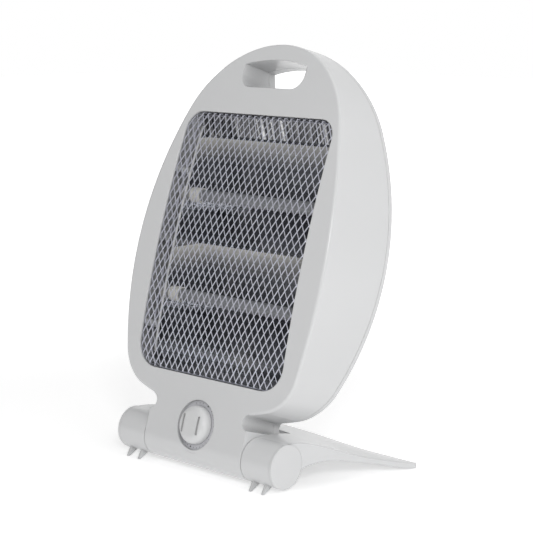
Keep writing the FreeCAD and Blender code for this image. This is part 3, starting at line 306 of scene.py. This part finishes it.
def foldTray(spot):
    # bends a point of the flat sheet over the tray's edge, and bows the face
    far, out = trayBorder(spot.x, spot.y)
    fold = tray["fold"]
    bend = min(max((far + fold) / fold, 0), math.pi / 2)
    past = max(far + fold - fold * math.pi / 2, 0)
    slide = fold * math.sin(bend) - fold if far > -fold else far
    u, v = Vector((spot.x, spot.y)) - out * (far - slide)
    deep = fold * (1 - math.cos(bend)) + past
    middle = (tray["high"] + tray["low"]) / 2
    crown = max(1 - (u / tray["halfWidth"]) ** 2, 0)
    crown *= max(1 - ((v - middle) / (tray["high"] - middle)) ** 2, 0)
    lift = Vector((out.x * math.sin(bend), out.y * math.sin(bend), -math.cos(bend))) * spot.z
    bow = tray["dome"] * crown ** tray["domePower"]
    return Vector((u, v, panelDepth(v) + tray["recess"] - bow + deep)) + lift


# diamond mesh: two families of strips cut from one flat sheet, folded into a tray
bm = bmesh.new()
middle = (tray["high"] + tray["low"]) / 2
reach = (tray["high"] - tray["low"]) / 2 + tray["band"]
span = tray["halfWidth"] + tray["band"]
rise = math.hypot(tray["diamondWide"], tray["diamondHigh"]) / 2
for lean in (1, -1):
    angle = math.atan2(tray["diamondHigh"], lean * tray["diamondWide"])
    length = 2 * reach / math.sin(angle)
    steps = round(length / rise) * tray["cuts"]
    drift = reach / math.tan(angle)
    count = math.ceil((span + abs(drift)) / tray["diamondWide"])
    for index in range(-count, count + 1):
        spot = Matrix.Translation((index * tray["diamondWide"], middle, 0))
        turn = Matrix.Rotation(angle, 4, "Z") @ Matrix.Rotation(lean * tray["twist"], 4, "X")
        size = Matrix.Diagonal((length / 2, tray["strandWide"] / 2, 1, 1))
        bmesh.ops.create_grid(bm, x_segments=steps, y_segments=1, size=1, matrix=spot @ turn @ size)
outside = [face for face in bm.faces if trayBorder(*face.calc_center_median().xy)[0] > tray["band"]]
bmesh.ops.delete(bm, geom=outside, context="FACES")
for vert in bm.verts:
    vert.co = foldTray(vert.co)
bmesh.ops.solidify(bm, geom=bm.faces[:], thickness=tray["sheet"])
meshTray = finishPiece("diamond_mesh", bm, "head", "mesh_steel", smooth=False)

# hem round the tray's rear edge
bm = bmesh.new()
bmesh.ops.create_circle(bm, segments=tray["hemSteps"], radius=1)
for vert in bm.verts:
    # squared-off angles spread the points along the sides
    x, y = vert.co.xy
    stretch = max(abs(x), abs(y))
    u, v = x / stretch * tray["halfWidth"], middle + y / stretch * (tray["high"] - middle)
    far, out = trayBorder(u, v)
    u, v = Vector((u, v)) - out * far
    vert.co = (u, v, panelDepth(v) + tray["recess"] + tray["band"] - tray["hemWide"] / 2)
ring = bmesh.ops.extrude_edge_only(bm, edges=bm.edges[:])["geom"]
bmesh.ops.translate(bm, vec=(0, 0, tray["hemWide"]),
                    verts=[g for g in ring if isinstance(g, bmesh.types.BMVert)])
bmesh.ops.recalc_face_normals(bm, faces=bm.faces[:])
bmesh.ops.solidify(bm, geom=bm.faces[:], thickness=tray["hemSheet"])
finishPiece("mesh_hem", bm, "head", "mesh_steel", smooth=False)
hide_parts("grille")


# rolled lips along the front edges of the reflector's end plates
lip = {"across": 0.0922, "radius": 0.0012, "low": 0.074, "high": 0.2945, "back": 0.0210,
       "steps": 36, "sides": 10}
bm = bmesh.new()
for side in (-1, 1):
    turn = Matrix.Translation((side * lip["across"], lip["low"], panelDepth(lip["low"]) + lip["back"]))
    bmesh.ops.create_circle(bm, cap_ends=True, segments=lip["sides"], radius=lip["radius"],
                            matrix=turn @ Matrix.Rotation(math.pi / 2, 4, "X"))
    rim = [edge for edge in bm.edges if edge.is_boundary and edge.verts[0].co.x * side > 0]
    for step in range(lip["steps"]):
        below, above = (lip["low"] + (lip["high"] - lip["low"]) * k / lip["steps"] for k in (step, step + 1))
        grown = bmesh.ops.extrude_edge_only(bm, edges=rim)["geom"]
        bmesh.ops.translate(bm, verts=[g for g in grown if isinstance(g, bmesh.types.BMVert)],
                            vec=(0, above - below, panelDepth(above) - panelDepth(below)))
        rim = [g for g in grown if isinstance(g, bmesh.types.BMEdge) and g.is_boundary]
    bmesh.ops.contextual_create(bm, geom=rim)
bmesh.ops.recalc_face_normals(bm, faces=bm.faces[:])
finishes["rolled_lip"] = dullSkin("rolledLip", (0.88, 0.88, 0.89), (0.95, 0.95, 0.95), 0.25)
lips = finishPiece("end_plate_lips", bm, "head", "rolled_lip")


# heating wire wound inside each tube
coil = {"radius": 0.0030, "wire": 0.00030, "pitch": 0.0016, "inset": 0.001, "sides": 6, "steps": 12}
for coilName in ("upper_coil", "lower_coil"):
    low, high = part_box(coilName)
    centre = (low + high) / 2
    turns = int((high.x - low.x - 2 * coil["inset"]) / coil["pitch"])
    bm = bmesh.new()
    start = Matrix.Translation((low.x + coil["inset"], 0, coil["radius"] - coil["wire"]))
    bmesh.ops.create_circle(bm, segments=coil["sides"], radius=coil["wire"], matrix=start)
    bmesh.ops.spin(bm, geom=bm.verts[:] + bm.edges[:], cent=(0, 0, 0), axis=(1, 0, 0),
                   angle=2 * math.pi * turns, dvec=(coil["pitch"] / coil["steps"], 0, 0),
                   steps=turns * coil["steps"])
    bmesh.ops.holes_fill(bm, edges=[edge for edge in bm.edges if edge.is_boundary], sides=0)
    bmesh.ops.recalc_face_normals(bm, faces=bm.faces[:])
    wound = finishPiece(coilName + "_wound", bm, "head", "heating_wire",
                        place=Matrix.Translation((0, centre.y, centre.z)))
    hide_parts(coilName)


# printed marks round the dial: a dot for each setting and fine graduations
dial = {"height": 0.0173, "front": -0.0170, "proud": 0.00005, "ring": 0.0204,
        "dot": 0.0008, "dotSides": 20, "dots": (24, 84, 190),
        "tickLong": 0.0013, "tickWide": 0.00035,
        "ticks": (340, 352, 4, 42, 53, 64, 74, 96, 108, 120, 132, 144, 156, 168, 179, 201, 212)}
bm = bmesh.new()
face = Matrix.Translation((0, dial["height"], dial["front"] - dial["proud"]))
for clock in dial["dots"] + dial["ticks"]:
    spot = face @ Matrix.Rotation(-math.radians(clock), 4, "Z") @ Matrix.Translation((0, dial["ring"], 0))
    if clock in dial["dots"]:
        bmesh.ops.create_circle(bm, cap_ends=True, segments=dial["dotSides"], radius=dial["dot"], matrix=spot)
    else:
        size = Matrix.Diagonal((dial["tickWide"] / 2, dial["tickLong"] / 2, 1, 1))
        bmesh.ops.create_grid(bm, x_segments=1, y_segments=1, size=1, matrix=spot @ size)
bmesh.ops.solidify(bm, geom=bm.faces[:], thickness=dial["proud"] / 2)
finishes["dial_print"] = dullSkin("dialPrint", (0.10, 0.10, 0.11), (0.16, 0.16, 0.17), 0.5)
marks = finishPiece("dial_marks", bm, "head", "dial_print", smooth=False)


# floor, and a dark curtain round the front that the polished sheet reflects
studio = {"floorSize": 6, "clear": 0.35, "glow": 0.14, "lift": 0.30, "fade": 0.4, "ambience": 0.43,
          "aim": (0, 0.05, 0.2), "curtainSteps": 24,
          "curtain": ((3.0, 0, 0.02), (3.0, 0, 2.4), (1.7, 0, 4.2)), "curtainStart": 150, "curtainSweep": 225}


def stagePiece(name, bm, finish):
    mesh = bpy.data.meshes.new(name)
    bm.to_mesh(mesh)
    bm.free()
    piece = bpy.data.objects.new(name, mesh)
    bpy.context.scene.collection.objects.link(piece)
    mesh.materials.append(finish.material)
    return piece


paper = Finish("paleFloor", rough=0.9, glowLevel=1)
spot = paper.add("ShaderNodeTexCoord", output="Object")
away = paper.add("ShaderNodeVectorMath", {"operation": "LENGTH"}, {0: spot}, "Value")
fade = paper.add("ShaderNodeMapRange", {"interpolation_type": "SMOOTHSTEP"},
                 {"Value": away, "From Min": studio["clear"], "From Max": 3 * studio["clear"]})
paper.set(colour=paper.blend(paper.noise(3, 2), (0.93, 0.93, 0.93), (0.95, 0.95, 0.95)))
shine = studio["glow"] + paper.seen() * (studio["lift"] + studio["fade"] * fade)
paper.set(glow=paper.blend(shine, (0, 0, 0), (1, 1, 1)))
bm = bmesh.new()
bmesh.ops.create_grid(bm, x_segments=8, y_segments=8, size=studio["floorSize"])
stagePiece("floor", bm, paper)

felt = Finish("darkCurtain", rough=0.9)
felt.set(colour=felt.blend(felt.noise(20, 3), (0.035, 0.035, 0.038), (0.05, 0.05, 0.055)))
bm = bmesh.new()
posts = [bm.verts.new(spot) for spot in studio["curtain"]]
for first, second in zip(posts, posts[1:]):
    bm.edges.new((first, second))
turn = Matrix.Rotation(math.radians(studio["curtainStart"]), 3, "Z")
bmesh.ops.rotate(bm, cent=(0, 0, 0), matrix=turn, verts=posts)
bmesh.ops.spin(bm, geom=posts + bm.edges[:], cent=(0, 0, 0), axis=(0, 0, 1),
               angle=math.radians(studio["curtainSweep"]), steps=studio["curtainSteps"])
curtain = stagePiece("curtain", bm, felt)
for ray in ("camera", "diffuse", "shadow"):
    setattr(curtain, "visible_" + ray, False)

world = bpy.data.worlds.new("studio")
bpy.context.scene.world = world
world.use_nodes = True
sky = Graph(world.node_tree)
sky.feed(sky.tree.nodes["Background"].inputs["Color"], (1, 1, 1))
brightness = studio["ambience"] + (1 - studio["ambience"]) * sky.seen()
sky.feed(sky.tree.nodes["Background"].inputs["Strength"], brightness)

lamps = {"key": {"spot": (2.2, -0.30, 1.35), "size": 1.6, "power": 7, "mirrored": False},
         "front": {"spot": (1.30, -1.05, 0.95), "size": 0.30, "power": 8, "mirrored": True},
         "top": {"spot": (0.2, 0.5, 2.4), "size": 1.8, "power": 5, "mirrored": True}}
for name, lamp in lamps.items():
    light = bpy.data.lights.new(name, "AREA")
    light.shape = "SQUARE"
    light.size = lamp["size"]
    light.energy = lamp["power"]
    holder = bpy.data.objects.new(name, light)
    holder.location = lamp["spot"]
    aim = Vector(studio["aim"]) - holder.location
    holder.rotation_euler = aim.to_track_quat("-Z", "Y").to_euler()
    holder.visible_glossy = lamp["mirrored"]
    bpy.context.scene.collection.objects.link(holder)

# camera at the photograph's angle
shot = {"spot": (1.0390, -0.9981, 0.4281), "look": (-0.68507, 0.70986, -0.16382), "lens": 110.1,
        "sensor": 36}
lens = bpy.data.cameras.new("camera")
lens.lens = shot["lens"]
lens.sensor_width = shot["sensor"]
camera = bpy.data.objects.new("camera", lens)
camera.location = shot["spot"]
camera.rotation_euler = Vector(shot["look"]).to_track_quat("-Z", "Y").to_euler()
bpy.context.scene.collection.objects.link(camera)
bpy.context.scene.camera = camera
bpy.context.scene.view_settings.view_transform = "Standard"

print("studio:", len(lamps), "lamps")
